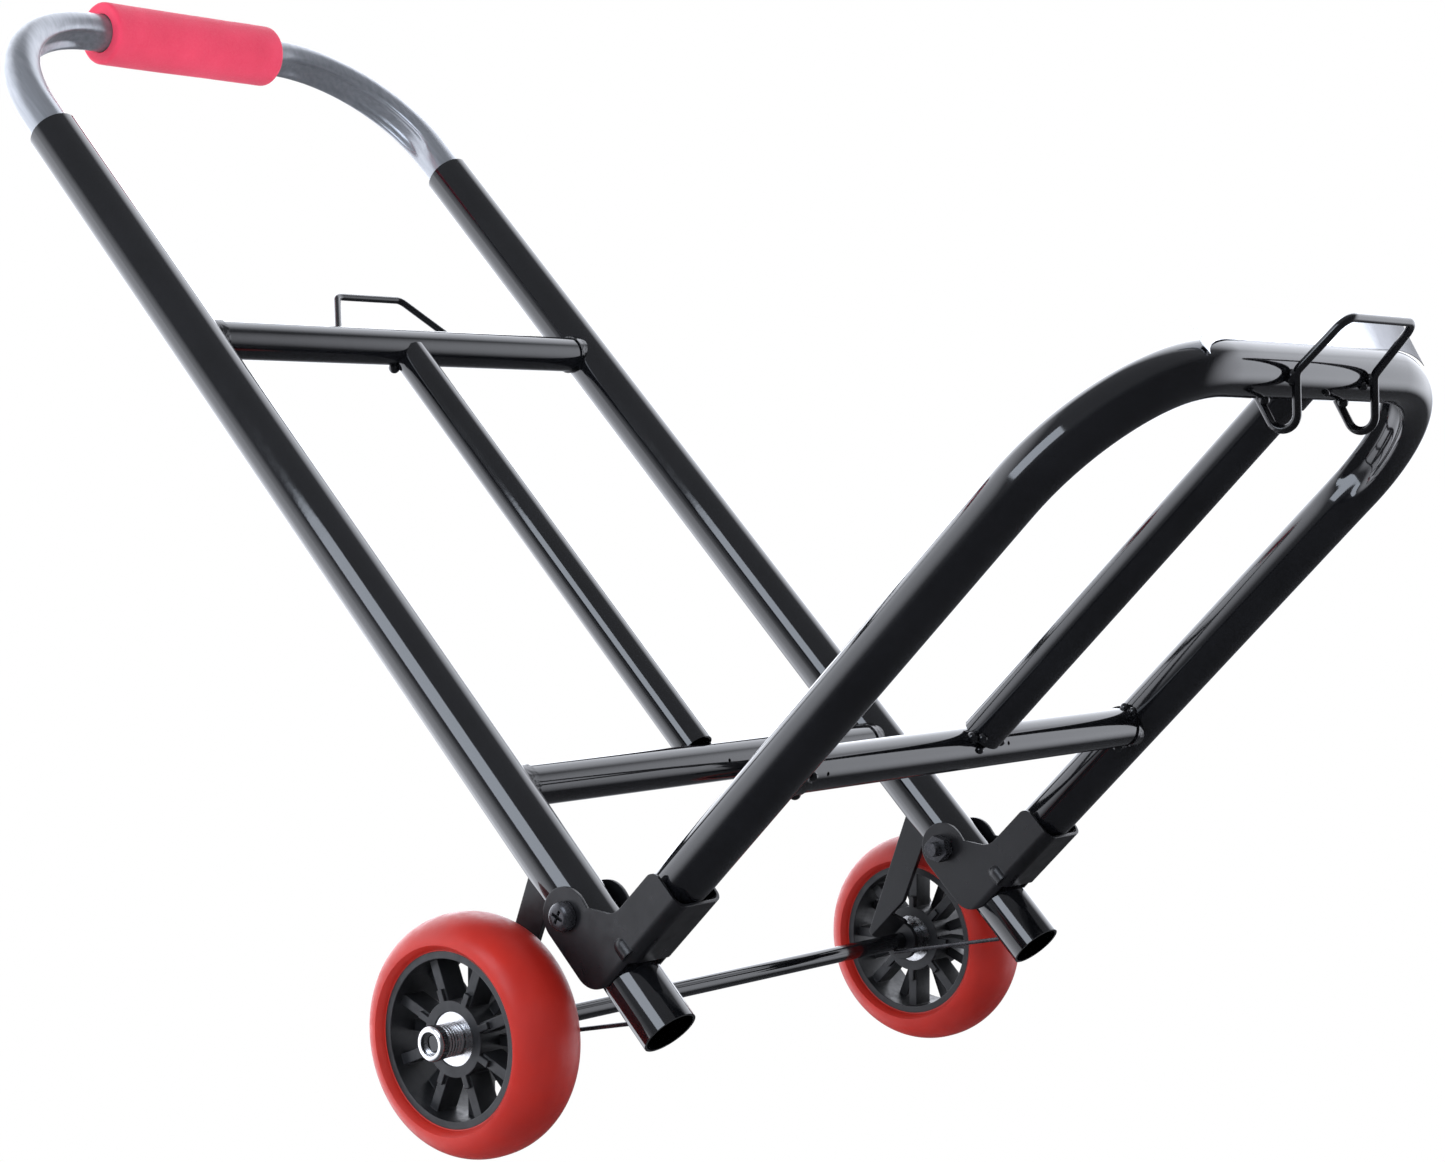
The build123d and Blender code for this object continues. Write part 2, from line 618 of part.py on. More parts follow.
def lock_nuts():
    """Round nuts with a wide mouth, in which the axle's end sits back."""
    nuts = []
    start = WASHER_START + WASHER_COUNT * WASHER_THICKNESS
    end = start + LOCK_NUT_HEIGHT
    for side in (LEFT, RIGHT):
        nut = rod((start, AXLE_Y, AXLE_HEIGHT), (end, AXLE_Y, AXLE_HEIGHT), LOCK_NUT_R)
        nut = fillet(nut.edges().filter_by(GeomType.CIRCLE), 1.6)
        nut -= rod((start - 1, AXLE_Y, AXLE_HEIGHT), (end + 1, AXLE_Y, AXLE_HEIGHT), AXLE_R)
        nut -= rod((end - 3.2, AXLE_Y, AXLE_HEIGHT), (end + 1, AXLE_Y, AXLE_HEIGHT), LOCK_NUT_MOUTH_R)
        nuts.append(on_side(nut, side))
    return joined(nuts)


# ---- wheels -------------------------------------------------------------------
HUB_RIM = 3.6
BOSS_R = 18.2
BOSS_HALF = 14.0
SPOKE_COUNT = 8
SPOKE_THICKNESS = 5.2
SPOKE_DEPTH = 13.0
NUB_TIP_R = 24.0


def hub(side):
    half = HUB_WIDTH / 2
    rim = ring(-half, half, HUB_R, HUB_R - HUB_RIM)
    boss = ring(-BOSS_HALF, BOSS_HALF, BOSS_R, BUSH_OUTER_R)
    shelf_half = BUSH_FACE - BUSH_DEPTH
    bore_shelf = ring(-shelf_half, shelf_half, BUSH_OUTER_R, 8.0)
    body = rim + boss + bore_shelf
    spoke_length = HUB_R - HUB_RIM - BOSS_R + 1.2
    for index in range(SPOKE_COUNT):
        outer_turn = 360 / SPOKE_COUNT * (index + 0.5)
        inner_turn = 360 / SPOKE_COUNT * index
        spoke = Box(SPOKE_DEPTH, spoke_length, SPOKE_THICKNESS, align=(Align.MIN, Align.MIN, Align.CENTER))
        body += Rot(outer_turn, 0, 0) * Pos(-1.0, BOSS_R - 0.6, 0) * spoke
        body += Rot(inner_turn, 0, 0) * Pos(1.0 - SPOKE_DEPTH, BOSS_R - 0.6, 0) * spoke
        nub = Box(3.0, NUB_TIP_R - BOSS_R + 0.6, 3.2, align=(Align.MIN, Align.MIN, Align.CENTER))
        body += Rot(outer_turn, 0, 0) * Pos(BOSS_HALF - 3.0, BOSS_R - 0.6, 0) * nub
        body += Rot(inner_turn, 0, 0) * Pos(-BOSS_HALF, BOSS_R - 0.6, 0) * nub
    return on_wheel(body, side)


def tyre(side):
    """A moulded tyre with a rounded tread and full-width side walls."""
    half = TYRE_WIDTH / 2
    rim_half = HUB_WIDTH / 2
    profile = Polyline(
        (-rim_half, HUB_R), (rim_half, HUB_R), (half - 0.8, HUB_R + 3.5)
    )
    right_wall = ThreePointArc((half - 0.8, HUB_R + 3.5), (half - 5.5, TYRE_R - 4.2), (6.0, TYRE_R))
    tread = Line((6.0, TYRE_R), (-6.0, TYRE_R))
    left_wall = ThreePointArc((-6.0, TYRE_R), (-half + 5.5, TYRE_R - 4.2), (-half + 0.8, HUB_R + 3.5))
    closing = Line((-half + 0.8, HUB_R + 3.5), (-rim_half, HUB_R))
    section = make_face([*profile.edges(), right_wall, tread, left_wall, closing])
    return on_wheel(revolve(section, Axis.X), side)


# ---- leaning the finished truck onto its feet -----------------------------------
def standing_lean(hook):
    """How far the square frame leans forward until the toe hook's eyes and the
    front edges of the uprights' lower ends are level, in degrees."""
    lean = 0.0
    for _ in range(8):
        eye_bottom = (Rot(-lean, 0, 0) * hook).bounding_box().min.Z
        foot_bottom = -UPRIGHT_R * sin(radians(lean))
        lean += degrees((eye_bottom - foot_bottom) / PLATFORM_REACH)
    return lean


PIECES = {
    "upright_left": upright(LEFT),
    "upright_right": upright(RIGHT),
    "crossbar_top": frame_crossbar(TOP_CROSSBAR_HEIGHT),
    "crossbar_lower": frame_crossbar(LOWER_CROSSBAR_HEIGHT),
    "center_brace": center_brace(),
    "frame_welds": frame_welds(),
    "rear_hook": rear_hook(),
    "guide_bush_left": guide_bush(LEFT),
    "guide_bush_right": guide_bush(RIGHT),
    "handle_tube": handle_tube(),
    "handle_plug_left": handle_plug(LEFT),
    "handle_plug_right": handle_plug(RIGHT),
    "foam_grip": foam_grip(),
    "platform_tube": platform_tube(),
    "platform_crossbar": platform_crossbar(),
    "platform_brace": platform_brace(),
    "platform_welds": platform_welds(),
    "toe_hook": toe_hook(),
    "toe_plate": toe_plate(),
    "hinge_bracket_left": hinge_bracket(LEFT),
    "hinge_bracket_right": hinge_bracket(RIGHT),
    "pivot_bolt_left": pivot_bolt(LEFT),
    "pivot_bolt_right": pivot_bolt(RIGHT),
    "pivot_nuts": pivot_nuts(),
    "wheel_arm_left": wheel_arm(LEFT),
    "wheel_arm_right": wheel_arm(RIGHT),
    "axle_stay_left": axle_stay(LEFT),
    "axle_stay_right": axle_stay(RIGHT),
    "axle_rod": axle_rod(),
    "axle_sleeves": axle_sleeves(),
    "axle_washers": axle_washers(),
    "lock_nuts": lock_nuts(),
    "hub_left": hub(LEFT),
    "hub_right": hub(RIGHT),
    "tyre_left": tyre(LEFT),
    "tyre_right": tyre(RIGHT),
    "wheel_bushes_left": wheel_bushes(LEFT),
    "wheel_bushes_right": wheel_bushes(RIGHT),
}

lean = standing_lean(PIECES["toe_hook"])
leaned = {name: Rot(-lean, 0, 0) * piece for name, piece in PIECES.items()}
boxes = [piece.bounding_box() for piece in leaned.values()]
floor = min(box.min.Z for box in boxes)
middle_y = (min(box.min.Y for box in boxes) + max(box.max.Y for box in boxes)) / 2
place = Pos(0, -middle_y, -floor)

os.makedirs("parts", exist_ok=True)
for name, piece in leaned.items():
    export_step(place * piece, f"parts/{name}.step")
print(f"lean {lean:.4f} degrees, origin moved by y {-middle_y:.4f}, z {-floor:.4f}")
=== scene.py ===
import json
from math import asin, cos, exp, pi, radians, sin

import bmesh
import bpy
from mathutils import Matrix, Vector, noise


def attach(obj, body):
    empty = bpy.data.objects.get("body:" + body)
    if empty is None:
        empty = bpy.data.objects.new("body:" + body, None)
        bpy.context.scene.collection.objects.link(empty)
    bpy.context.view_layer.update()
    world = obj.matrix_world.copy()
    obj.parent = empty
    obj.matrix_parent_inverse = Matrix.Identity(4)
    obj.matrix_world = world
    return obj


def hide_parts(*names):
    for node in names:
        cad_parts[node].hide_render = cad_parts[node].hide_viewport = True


# Folding two-wheel luggage hand truck, seen from in front and just under its base.
# Pieces made here are described in millimetres in the truck's own square frame
# (X right, Y forward along the platform, Z up along the uprights) and then leaned
# forward with the frame, as the CAD model is.

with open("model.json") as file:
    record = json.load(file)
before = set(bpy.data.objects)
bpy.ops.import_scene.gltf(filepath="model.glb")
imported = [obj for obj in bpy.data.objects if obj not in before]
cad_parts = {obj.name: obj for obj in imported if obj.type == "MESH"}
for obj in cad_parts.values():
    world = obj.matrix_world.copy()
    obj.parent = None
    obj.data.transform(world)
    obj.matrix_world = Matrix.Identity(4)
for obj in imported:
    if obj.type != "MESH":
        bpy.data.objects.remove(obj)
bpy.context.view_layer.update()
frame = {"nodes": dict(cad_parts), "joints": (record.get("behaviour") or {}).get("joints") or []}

# ---- dimensions shared with the CAD model, millimetres ------------------------
SIDE_X = 154.5                   # uprights and platform legs, from the middle

HANDLE_R = 11.0
HANDLE_TOP = 730.0
HANDLE_BEND = 81.0
HANDLE_FOOT = 333.0
HANDLE_WALL = 1.2
GRIP_R = 18.7
GRIP_HALF = 64.5

PLATFORM_R = 12.7
PLATFORM_Z = 44.4
PLATFORM_REACH = 385.0
PLATFORM_BEND = 76.0
PLATFORM_START = 18.0            # where the legs begin, ahead of the uprights
PLATFORM_WALL = 1.3

PIVOT_Z = 72.0
AXLE_Y = -73.3
AXLE_Z = 61.8
WHEEL_X = 185.8
TYRE_R = 58.5
TYRE_HALF = 21.3
HUB_R = 42.0
HUB_HALF = 17.0

# ---- the visible shapes' own dimensions, millimetres unless named otherwise -----
RUN_STEP = 9.0                   # mesh ring spacing along straight tube
ARC_STEP = 1.6                   # and round a bend
LEAST_ARC_STEPS = 6
TUBE_SIDES = 72

HANDLE_CRUSH = 0.42              # depth of the bends' groove, in tube radii
PLATFORM_CRUSH = 0.36
CRUSH_EARLY = 14.0               # the groove starts this far before the bend
CRUSH_EASE = 34.0                # and deepens over this length
GROOVE_ANGLE = 0.50              # the groove's half width round the tube, radians
RIDGE_ANGLE = 0.80               # the raised ridge beside the groove, radians
RIDGE_WIDTH = 0.22
RIDGE_HEIGHT = 0.05              # in tube radii
BEND_FLATTENING = 0.07           # the share by which a bend loses depth
BEND_WIDENING = 0.02             # and gains width
BORE_SHOWN = 24.0                # how far the open tube ends are hollow

GRIP_SIDES = 96
GRIP_STEPS = 44
GRIP_CORNER = 2.4
GRIP_END_SETBACK = 0.2
GRIP_SKIN_GAP = 0.05             # between the foam's skin and the CAD sleeve's
GRIP_BORE_GAP = 0.45
GRIP_SWELL = 0.22                # long and short unevenness of the foam
GRIP_SWELL_SCALE = 0.035
GRIP_RIPPLE = 0.06
GRIP_RIPPLE_SCALE = 0.2

TYRE_SIDES = 160
TYRE_SIDE_SETBACK = 0.3
TYRE_SHOULDER = 20.0             # width of the rounded shoulder
TYRE_SHOULDER_STEPS = 26
TYRE_RIM_RISE = 2.6              # from the hub's radius to where the shoulder starts
TYRE_LEDGE = 2.2                 # the flat edge between the shoulder and the hub

CAD_SHARP_ANGLE = 32.0           # degrees
BENT_TUBE_SHARP_ANGLE = 50.0
GRIP_SHARP_ANGLE = 60.0
TYRE_SHARP_ANGLE = 40.0

CAMERA_PLACE = (1.16772, 0.62166, -0.45114)      # metres
CAMERA_TURN = (122.146, 34.878, 140.250)         # degrees
CAMERA_LENS = 72.05


def square_to_row():
    """The matrix from the square frame in millimetres to the row frame in metres."""
    joints = {joint["name"]: joint for joint in frame["joints"]}
    slide = joints["handle_slide"]["axis"]
    lean = asin(slide[1])
    turn = Matrix.Rotation(-lean, 4, "X") @ Matrix.Scale(0.001, 4)
    pivot = Vector(joints["platform_fold"]["pos_m"])
    return Matrix.Translation(pivot - turn @ Vector((0, 0, PIVOT_Z))) @ turn


TO_ROW = square_to_row()


# ---- material helpers -----------------------------------------------------------
class Nodes:
    """Short names for building one material's node tree."""

    def __init__(self, name):
        self.material = bpy.data.materials.new(name)
        self.material.use_nodes = True
        self.tree = self.material.node_tree
        self.shader = self.tree.nodes["Principled BSDF"]
        coords = self.tree.nodes.new("ShaderNodeTexCoord")
        self.place = coords.outputs["Object"]

    def set(self, **values):
        for name, value in values.items():
            self.shader.inputs[name.replace("_", " ")].default_value = value

    def link(self, output, target):
        self.tree.links.new(output, target)

    def scaled(self, scale):
        node = self.tree.nodes.new("ShaderNodeMapping")
        node.inputs["Scale"].default_value = scale
        self.link(self.place, node.inputs["Vector"])
        return node.outputs["Vector"]

    def noise(self, scale, detail=3.0, stretch=None, roughness=0.55):
        node = self.tree.nodes.new("ShaderNodeTexNoise")
        node.inputs["Scale"].default_value = scale
        node.inputs["Detail"].default_value = detail
        node.inputs["Roughness"].default_value = roughness
        self.link(self.scaled(stretch) if stretch else self.place, node.inputs["Vector"])
        return node.outputs["Fac"]

    def voronoi(self, scale):
        node = self.tree.nodes.new("ShaderNodeTexVoronoi")
        node.inputs["Scale"].default_value = scale
        self.link(self.place, node.inputs["Vector"])
        return node.outputs["Distance"]

    def ramp(self, value, stops):
        """Colours or grey levels at positions from 0 to 1."""
        node = self.tree.nodes.new("ShaderNodeValToRGB")
        elements = node.color_ramp.elements
        while len(elements) < len(stops):
            elements.new(0.5)
        for element, (position, color) in zip(elements, stops):
            element.position = position
            element.color = (*color, 1.0) if isinstance(color, tuple) else (color, color, color, 1.0)
        self.link(value, node.inputs["Fac"])
        return node.outputs["Color"]

    def span(self, value, low, high, from_low=0.3, from_high=0.7):
        """The value's range stretched to low and high."""
        node = self.tree.nodes.new("ShaderNodeMapRange")
        node.inputs["From Min"].default_value = from_low
        node.inputs["From Max"].default_value = from_high
        node.inputs["To Min"].default_value = low
        node.inputs["To Max"].default_value = high
        self.link(value, node.inputs["Value"])
        return node.outputs["Result"]

    def combine(self, operation, first, second):
        node = self.tree.nodes.new("ShaderNodeMath")
        node.operation = operation
        self.link(first, node.inputs[0])
        self.link(second, node.inputs[1])
        return node.outputs["Value"]

    def bump(self, height, strength, distance):
        node = self.tree.nodes.new("ShaderNodeBump")
        node.inputs["Strength"].default_value = strength
        node.inputs["Distance"].default_value = distance
        self.link(height, node.inputs["Height"])
        self.link(node.outputs["Normal"], self.shader.inputs["Normal"])

    def rounded_edges(self, radius):
        """Softens the sharp edges of a piece by its normals."""
        node = self.tree.nodes.new("ShaderNodeBevel")
        node.samples = 6
        node.inputs["Radius"].default_value = radius
        bumps = [n for n in self.tree.nodes if n.bl_idname == "ShaderNodeBump"]
        target = bumps[0].inputs["Normal"] if bumps else self.shader.inputs["Normal"]
        self.link(node.outputs["Normal"], target)


# ---- materials ------------------------------------------------------------------
def gloss_black(name="gloss_black_paint", roughness=0.07, dimple=0.025):
    """Black powder paint: glossy, faintly dimpled, with dust specks and fine scuffs."""
    paint = Nodes(name)
    cloud = paint.noise(26.0, 4.0)
    specks = paint.ramp(paint.voronoi(420.0), [(0.0, 1.0), (0.035, 0.0)])
    patches = paint.ramp(paint.noise(55.0, 2.0), [(0.58, 0.0), (0.7, 1.0)])
    dust = paint.combine("MULTIPLY", specks, patches)
    base = paint.ramp(cloud, [(0.3, (0.0022, 0.0023, 0.0028)), (0.75, (0.0042, 0.0044, 0.0052))])
    mix = paint.tree.nodes.new("ShaderNodeMix")
    mix.data_type = "RGBA"
    paint.link(dust, mix.inputs["Factor"])
    paint.link(base, mix.inputs["A"])
    mix.inputs["B"].default_value = (0.05, 0.053, 0.062, 1.0)
    paint.link(mix.outputs["Result"], paint.shader.inputs["Base Color"])
    scuffs = paint.noise(90.0, 5.0, roughness=0.7)
    paint.link(paint.span(scuffs, roughness * 0.75, roughness * 1.5), paint.shader.inputs["Roughness"])
    dimples = paint.combine("ADD", paint.noise(240.0, 2.0), paint.noise(38.0, 2.0))
    paint.bump(dimples, dimple, 0.0004)
    paint.set(IOR=1.5)
    return paint.material


def satin_black(name="satin_black_paint"):
    """Semi-gloss paint on the pressed sheet parts."""
    paint = Nodes(name)
    cloud = paint.noise(40.0, 4.0)
    base = paint.ramp(cloud, [(0.3, (0.003, 0.003, 0.0036)), (0.75, (0.006, 0.006, 0.007))])
    paint.link(base, paint.shader.inputs["Base Color"])
    paint.link(paint.span(paint.noise(130.0, 4.0), 0.26, 0.42), paint.shader.inputs["Roughness"])
    paint.bump(paint.noise(500.0, 3.0), 0.12, 0.0003)
    paint.set(IOR=1.38)
    paint.rounded_edges(0.0007)
    return paint.material


def lip_steel():
    """The toe lip: bright sheet. Its base colour is painted to fall to near black toward the truck's left,
    a painted reflection fade standing in for its mirror image of the bright backdrop dying away there.
    """
    metal = Nodes("lip_steel")
    split = metal.tree.nodes.new("ShaderNodeSeparateXYZ")
    metal.link(metal.place, split.inputs["Vector"])
    # Painted reflection and shade: the base colour goes from bright to near black toward -X, where the lip
    # stops mirroring the backdrop; the noise added is random tone.
    along = metal.span(split.outputs["X"], 0.0, 0.8, -0.098, -0.035)
    shade = metal.combine("ADD", along, metal.span(metal.noise(45.0, 4.0), 0.0, 0.12))
    painted_fade_colours = [(0.0, (0.02, 0.02, 0.023)), (0.45, (0.16, 0.165, 0.18)), (0.85, (0.80, 0.82, 0.85))]
    base = metal.ramp(shade, painted_fade_colours)
    metal.link(base, metal.shader.inputs["Base Color"])
    metal.link(metal.span(metal.noise(120.0, 3.0), 0.16, 0.26), metal.shader.inputs["Roughness"])
    metal.set(Metallic=0.9)
    metal.rounded_edges(0.0006)
    return metal.material


def bright_aluminium():
    """Bright drawn aluminium tube with fine streaks along it."""
    metal = Nodes("bright_aluminium")
    streak = metal.noise(60.0, 4.0, stretch=(6.0, 6.0, 0.35))
    cloud = metal.noise(22.0, 3.0)
    base = metal.ramp(streak, [(0.3, (0.20, 0.21, 0.225)), (0.7, (0.27, 0.28, 0.30))])
    metal.link(base, metal.shader.inputs["Base Color"])
    metal.link(metal.span(cloud, 0.28, 0.38), metal.shader.inputs["Roughness"])
    metal.bump(metal.combine("ADD", streak, metal.noise(320.0, 2.0)), 0.08, 0.0003)
    metal.set(Metallic=0.7)
    return metal.material


def zinc():
    """Bright plated steel of nuts, washers and rings."""
    metal = Nodes("zinc_plate")
    cloud = metal.noise(160.0, 4.0)
    base = metal.ramp(cloud, [(0.3, (0.42, 0.42, 0.43)), (0.7, (0.68, 0.68, 0.69))])
    metal.link(base, metal.shader.inputs["Base Color"])
    metal.link(metal.span(metal.noise(300.0, 3.0), 0.14, 0.32), metal.shader.inputs["Roughness"])
    metal.bump(metal.noise(900.0, 2.0), 0.1, 0.0002)
    metal.set(Metallic=1.0)
    metal.rounded_edges(0.0004)
    return metal.material


def dark_steel():
    """Blackened steel of the pivot bolts and the axle stack."""
    metal = Nodes("dark_steel")
    cloud = metal.noise(200.0, 4.0)
    base = metal.ramp(cloud, [(0.3, (0.018, 0.018, 0.02)), (0.75, (0.05, 0.05, 0.055))])
    metal.link(base, metal.shader.inputs["Base Color"])
    metal.link(metal.span(metal.noise(400.0, 3.0), 0.18, 0.34), metal.shader.inputs["Roughness"])
    metal.bump(metal.noise(1200.0, 2.0), 0.1, 0.0002)
    metal.set(Metallic=0.6)
    metal.rounded_edges(0.0004)
    return metal.material


def foam():
    """Closed-cell foam: matt, with fine pores and a little colour drift."""
    soft = Nodes("pink_foam")
    cloud = soft.noise(30.0, 4.0)
    base = soft.ramp(cloud, [(0.25, (0.50, 0.026, 0.062)), (0.75, (0.60, 0.04, 0.085))])
    soft.link(base, soft.shader.inputs["Base Color"])
    pores = soft.ramp(soft.voronoi(1500.0), [(0.0, 0.0), (0.35, 1.0)])
    grain = soft.combine("ADD", pores, soft.noise(900.0, 4.0))
    soft.link(soft.span(soft.noise(700.0, 3.0), 0.62, 0.85), soft.shader.inputs["Roughness"])
    soft.bump(grain, 0.35, 0.0004)
    soft.set(IOR=1.35, Sheen_Weight=0.08, Sheen_Roughness=0.5)
    soft.set(Subsurface_Weight=0.12, Subsurface_Scale=0.004)
    soft.shader.inputs["Subsurface Radius"].default_value = (1.0, 0.35, 0.3)
    return soft.material


def tyre_red():
    """Moulded red polyurethane: satin, with faint mottling and scuffs."""
    rubber = Nodes("tyre_red")
    cloud = rubber.noise(34.0, 5.0)
    base = rubber.ramp(cloud, [(0.28, (0.25, 0.009, 0.005)), (0.72, (0.31, 0.013, 0.007))])
    rubber.link(base, rubber.shader.inputs["Base Color"])
    scuffs = rubber.noise(120.0, 5.0, roughness=0.7)
    rubber.link(rubber.span(scuffs, 0.3, 0.5), rubber.shader.inputs["Roughness"])
    skin = rubber.combine("ADD", rubber.noise(420.0, 3.0), rubber.noise(60.0, 3.0))
    rubber.bump(skin, 0.10, 0.0006)
    rubber.set(IOR=1.32, Subsurface_Weight=0.05, Subsurface_Scale=0.003)
    rubber.shader.inputs["Subsurface Radius"].default_value = (1.0, 0.25, 0.15)
    return rubber.material


def hub_black():
    """Moulded black nylon with a fine grain."""
    plastic = Nodes("hub_black")
    cloud = plastic.noise(60.0, 4.0)
    base = plastic.ramp(cloud, [(0.3, (0.006, 0.0062, 0.007)), (0.75, (0.012, 0.0125, 0.014))])
    plastic.link(base, plastic.shader.inputs["Base Color"])
    plastic.link(plastic.span(plastic.noise(260.0, 4.0), 0.34, 0.52), plastic.shader.inputs["Roughness"])
    plastic.bump(plastic.noise(1300.0, 3.0), 0.2, 0.0003)
    plastic.set(IOR=1.4)
    plastic.rounded_edges(0.0008)
    return plastic.material


def nylon():
    """Plain black nylon of the bushes and plugs inside the tubes."""
    plastic = Nodes("black_nylon")
    cloud = plastic.noise(80.0, 4.0)
    base = plastic.ramp(cloud, [(0.3, (0.012, 0.012, 0.013)), (0.75, (0.022, 0.022, 0.024))])
    plastic.link(base, plastic.shader.inputs["Base Color"])
    plastic.link(plastic.span(plastic.noise(300.0, 3.0), 0.4, 0.55), plastic.shader.inputs["Roughness"])
    plastic.bump(plastic.noise(1000.0, 3.0), 0.15, 0.0003)
    return plastic.material


TUBE_PAINT = gloss_black()
WIRE_PAINT = gloss_black("gloss_black_wire", roughness=0.14)
WELD_PAINT = gloss_black("gloss_black_weld", roughness=0.1, dimple=1.0)
LIP_STEEL = lip_steel()
SHEET_PAINT = satin_black()
ALUMINIUM = bright_aluminium()
ZINC = zinc()
DARK_STEEL = dark_steel()
FOAM = foam()
TYRE_RED = tyre_red()
HUB_BLACK = hub_black()
NYLON = nylon()


# ---- mesh helpers -----------------------------------------------------------------
def finish_mesh(name, bm, material, body, replaces, sharp):
    """Turns a bmesh in square-frame millimetres into a piece riding on a body."""
    bmesh.ops.recalc_face_normals(bm, faces=bm.faces)
    mesh = bpy.data.meshes.new(name)
    bm.transform(TO_ROW)
    bm.to_mesh(mesh)
    bm.free()
    mesh.shade_smooth()
    mesh.set_sharp_from_angle(angle=radians(sharp))
    mesh.materials.append(material)
    piece = bpy.data.objects.new(name, mesh)
    bpy.context.scene.collection.objects.link(piece)
    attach(piece, body)
    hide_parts(*replaces)
    return piece


def rounded_path(points, bend):
    """Pairs of a point and a tangent along straight runs joined by round bends."""
    points = [Vector(point) for point in points]
    samples = []
    cursor = points[0]
    for index in range(1, len(points)):
        target = points[index]
        direction = (target - points[index - 1]).normalized()
        if index < len(points) - 1:
            onward = (points[index + 1] - target).normalized()
            angle = direction.angle(onward)
            reach = bend * sin(angle / 2) / cos(angle / 2)
            arc_start = target - direction * reach
        else:
            onward, angle, reach, arc_start = direction, 0.0, 0.0, target
        run = (arc_start - cursor).length
        steps = max(1, int(run / RUN_STEP))
        last_point = 1 if index == len(points) - 1 else 0
        for step in range(steps + last_point):
            samples.append((cursor + direction * (run * step / steps), direction))
        if angle > 0:
            inward = (onward - direction * direction.dot(onward)).normalized()
            center = arc_start + inward * bend
            arc_steps = max(LEAST_ARC_STEPS, int(bend * angle / ARC_STEP))
            for step in range(arc_steps):
                turn = angle * step / arc_steps
                place = center + bend * (direction * sin(turn) - inward * cos(turn))
                tangent = direction * cos(turn) + inward * sin(turn)
                samples.append((place, tangent))
            cursor = target + onward * reach
        else:
            cursor = target
    return samples


def smooth_step(value):
    """0 to 1 with level ends."""
    value = min(1.0, max(0.0, value))
    return value * value * (3 - 2 * value)


def crushed_u_tube(name, points, bend, radius, wall, material, body, node, crush):
    """A U of tube whose two bends are pressed in on the inside, leaving a groove.

    Its open ends are hollow for a short way, enough for what can be seen.
    """
    samples = rounded_path(points, bend)
    first_run = Vector(points[1]) - Vector(points[0])
    middle_run = Vector(points[2]) - Vector(points[1])
    plane_normal = first_run.cross(middle_run).normalized()
    lengths = [0.0]
    for (before, _), (after, _) in zip(samples, samples[1:]):
        lengths.append(lengths[-1] + (after - before).length)
    leg = first_run.length - bend
    arc = bend * pi / 2
    bar = middle_run.length - 2 * bend
    bends = [(leg, leg + arc), (leg + arc + bar, leg + 2 * arc + bar)]
    bm = bmesh.new()
    rings = []
    for (place, tangent), length in zip(samples, lengths):
        inward = plane_normal.cross(tangent).normalized()
        weight = 0.0
        for start, end in bends:
            rise = smooth_step((length - start + CRUSH_EARLY) / CRUSH_EASE)
            fall = smooth_step((end + CRUSH_EARLY - length) / CRUSH_EASE)
            weight = max(weight, rise * fall)
        ring = []
        for index in range(TUBE_SIDES):
            angle = 2 * pi * index / TUBE_SIDES
            distance = min(angle, 2 * pi - angle)
            pressed = crush * weight * exp(-((distance / GROOVE_ANGLE) ** 4))
            ridge = RIDGE_HEIGHT * weight * exp(-(((distance - RIDGE_ANGLE) / RIDGE_WIDTH) ** 2))
            along_in = cos(angle) * (1 - BEND_FLATTENING * weight) - pressed + ridge * cos(angle)
            across = sin(angle) * (1 + BEND_WIDENING * weight + ridge)
            ring.append(bm.verts.new(place + radius * (inward * along_in + plane_normal * across)))
        rings.append(ring)
    for low, high in zip(rings, rings[1:]):
        for index in range(TUBE_SIDES):
            following = (index + 1) % TUBE_SIDES
            bm.faces.new((low[index], low[following], high[following], high[index]))
    for (place, tangent), ring, into_tube in ((samples[0], rings[0], 1), (samples[-1], rings[-1], -1)):
        rim = [bm.verts.new(place + (vert.co - place) * (1 - wall / radius)) for vert in ring]
        deep = [bm.verts.new(vert.co + tangent * into_tube * BORE_SHOWN) for vert in rim]
        for index in range(TUBE_SIDES):
            following = (index + 1) % TUBE_SIDES
            bm.faces.new((ring[index], ring[following], rim[following], rim[index]))
            bm.faces.new((rim[index], rim[following], deep[following], deep[index]))
        bm.faces.new(deep)
    finish_mesh(name, bm, material, body, (node,), BENT_TUBE_SHARP_ANGLE)


def lathe_x(profile, around, center):
    """A ring of revolution about X from (x, radius) points of a closed profile."""
    bm = bmesh.new()
    rings = []
    for index in range(around):
        angle = 2 * pi * index / around
        rings.append([
            bm.verts.new((center[0] + x, center[1] + r * cos(angle), center[2] + r * sin(angle)))
            for x, r in profile
        ])
    count = len(profile)
    for index in range(around):
        ring, following = rings[index], rings[(index + 1) % around]
        for step in range(count):
            onward = (step + 1) % count
            bm.faces.new((ring[step], ring[onward], following[onward], following[step]))
    return bm


def arc_points(center, radii, start, end, steps):
    """Points of an elliptical corner, angles in degrees."""
    points = []
    for step in range(steps + 1):
        angle = radians(start + (end - start) * step / steps)
        points.append((center[0] + radii[0] * cos(angle), center[1] + radii[1] * sin(angle)))
    return points


# ---- handle -------------------------------------------------------------------
crushed_u_tube(
    "handle_u",
    [
        (SIDE_X, 0, HANDLE_FOOT), (SIDE_X, 0, HANDLE_TOP),
        (-SIDE_X, 0, HANDLE_TOP), (-SIDE_X, 0, HANDLE_FOOT),
    ],
    HANDLE_BEND, HANDLE_R, HANDLE_WALL, ALUMINIUM, "handle", "handle_tube",
    HANDLE_CRUSH,
)


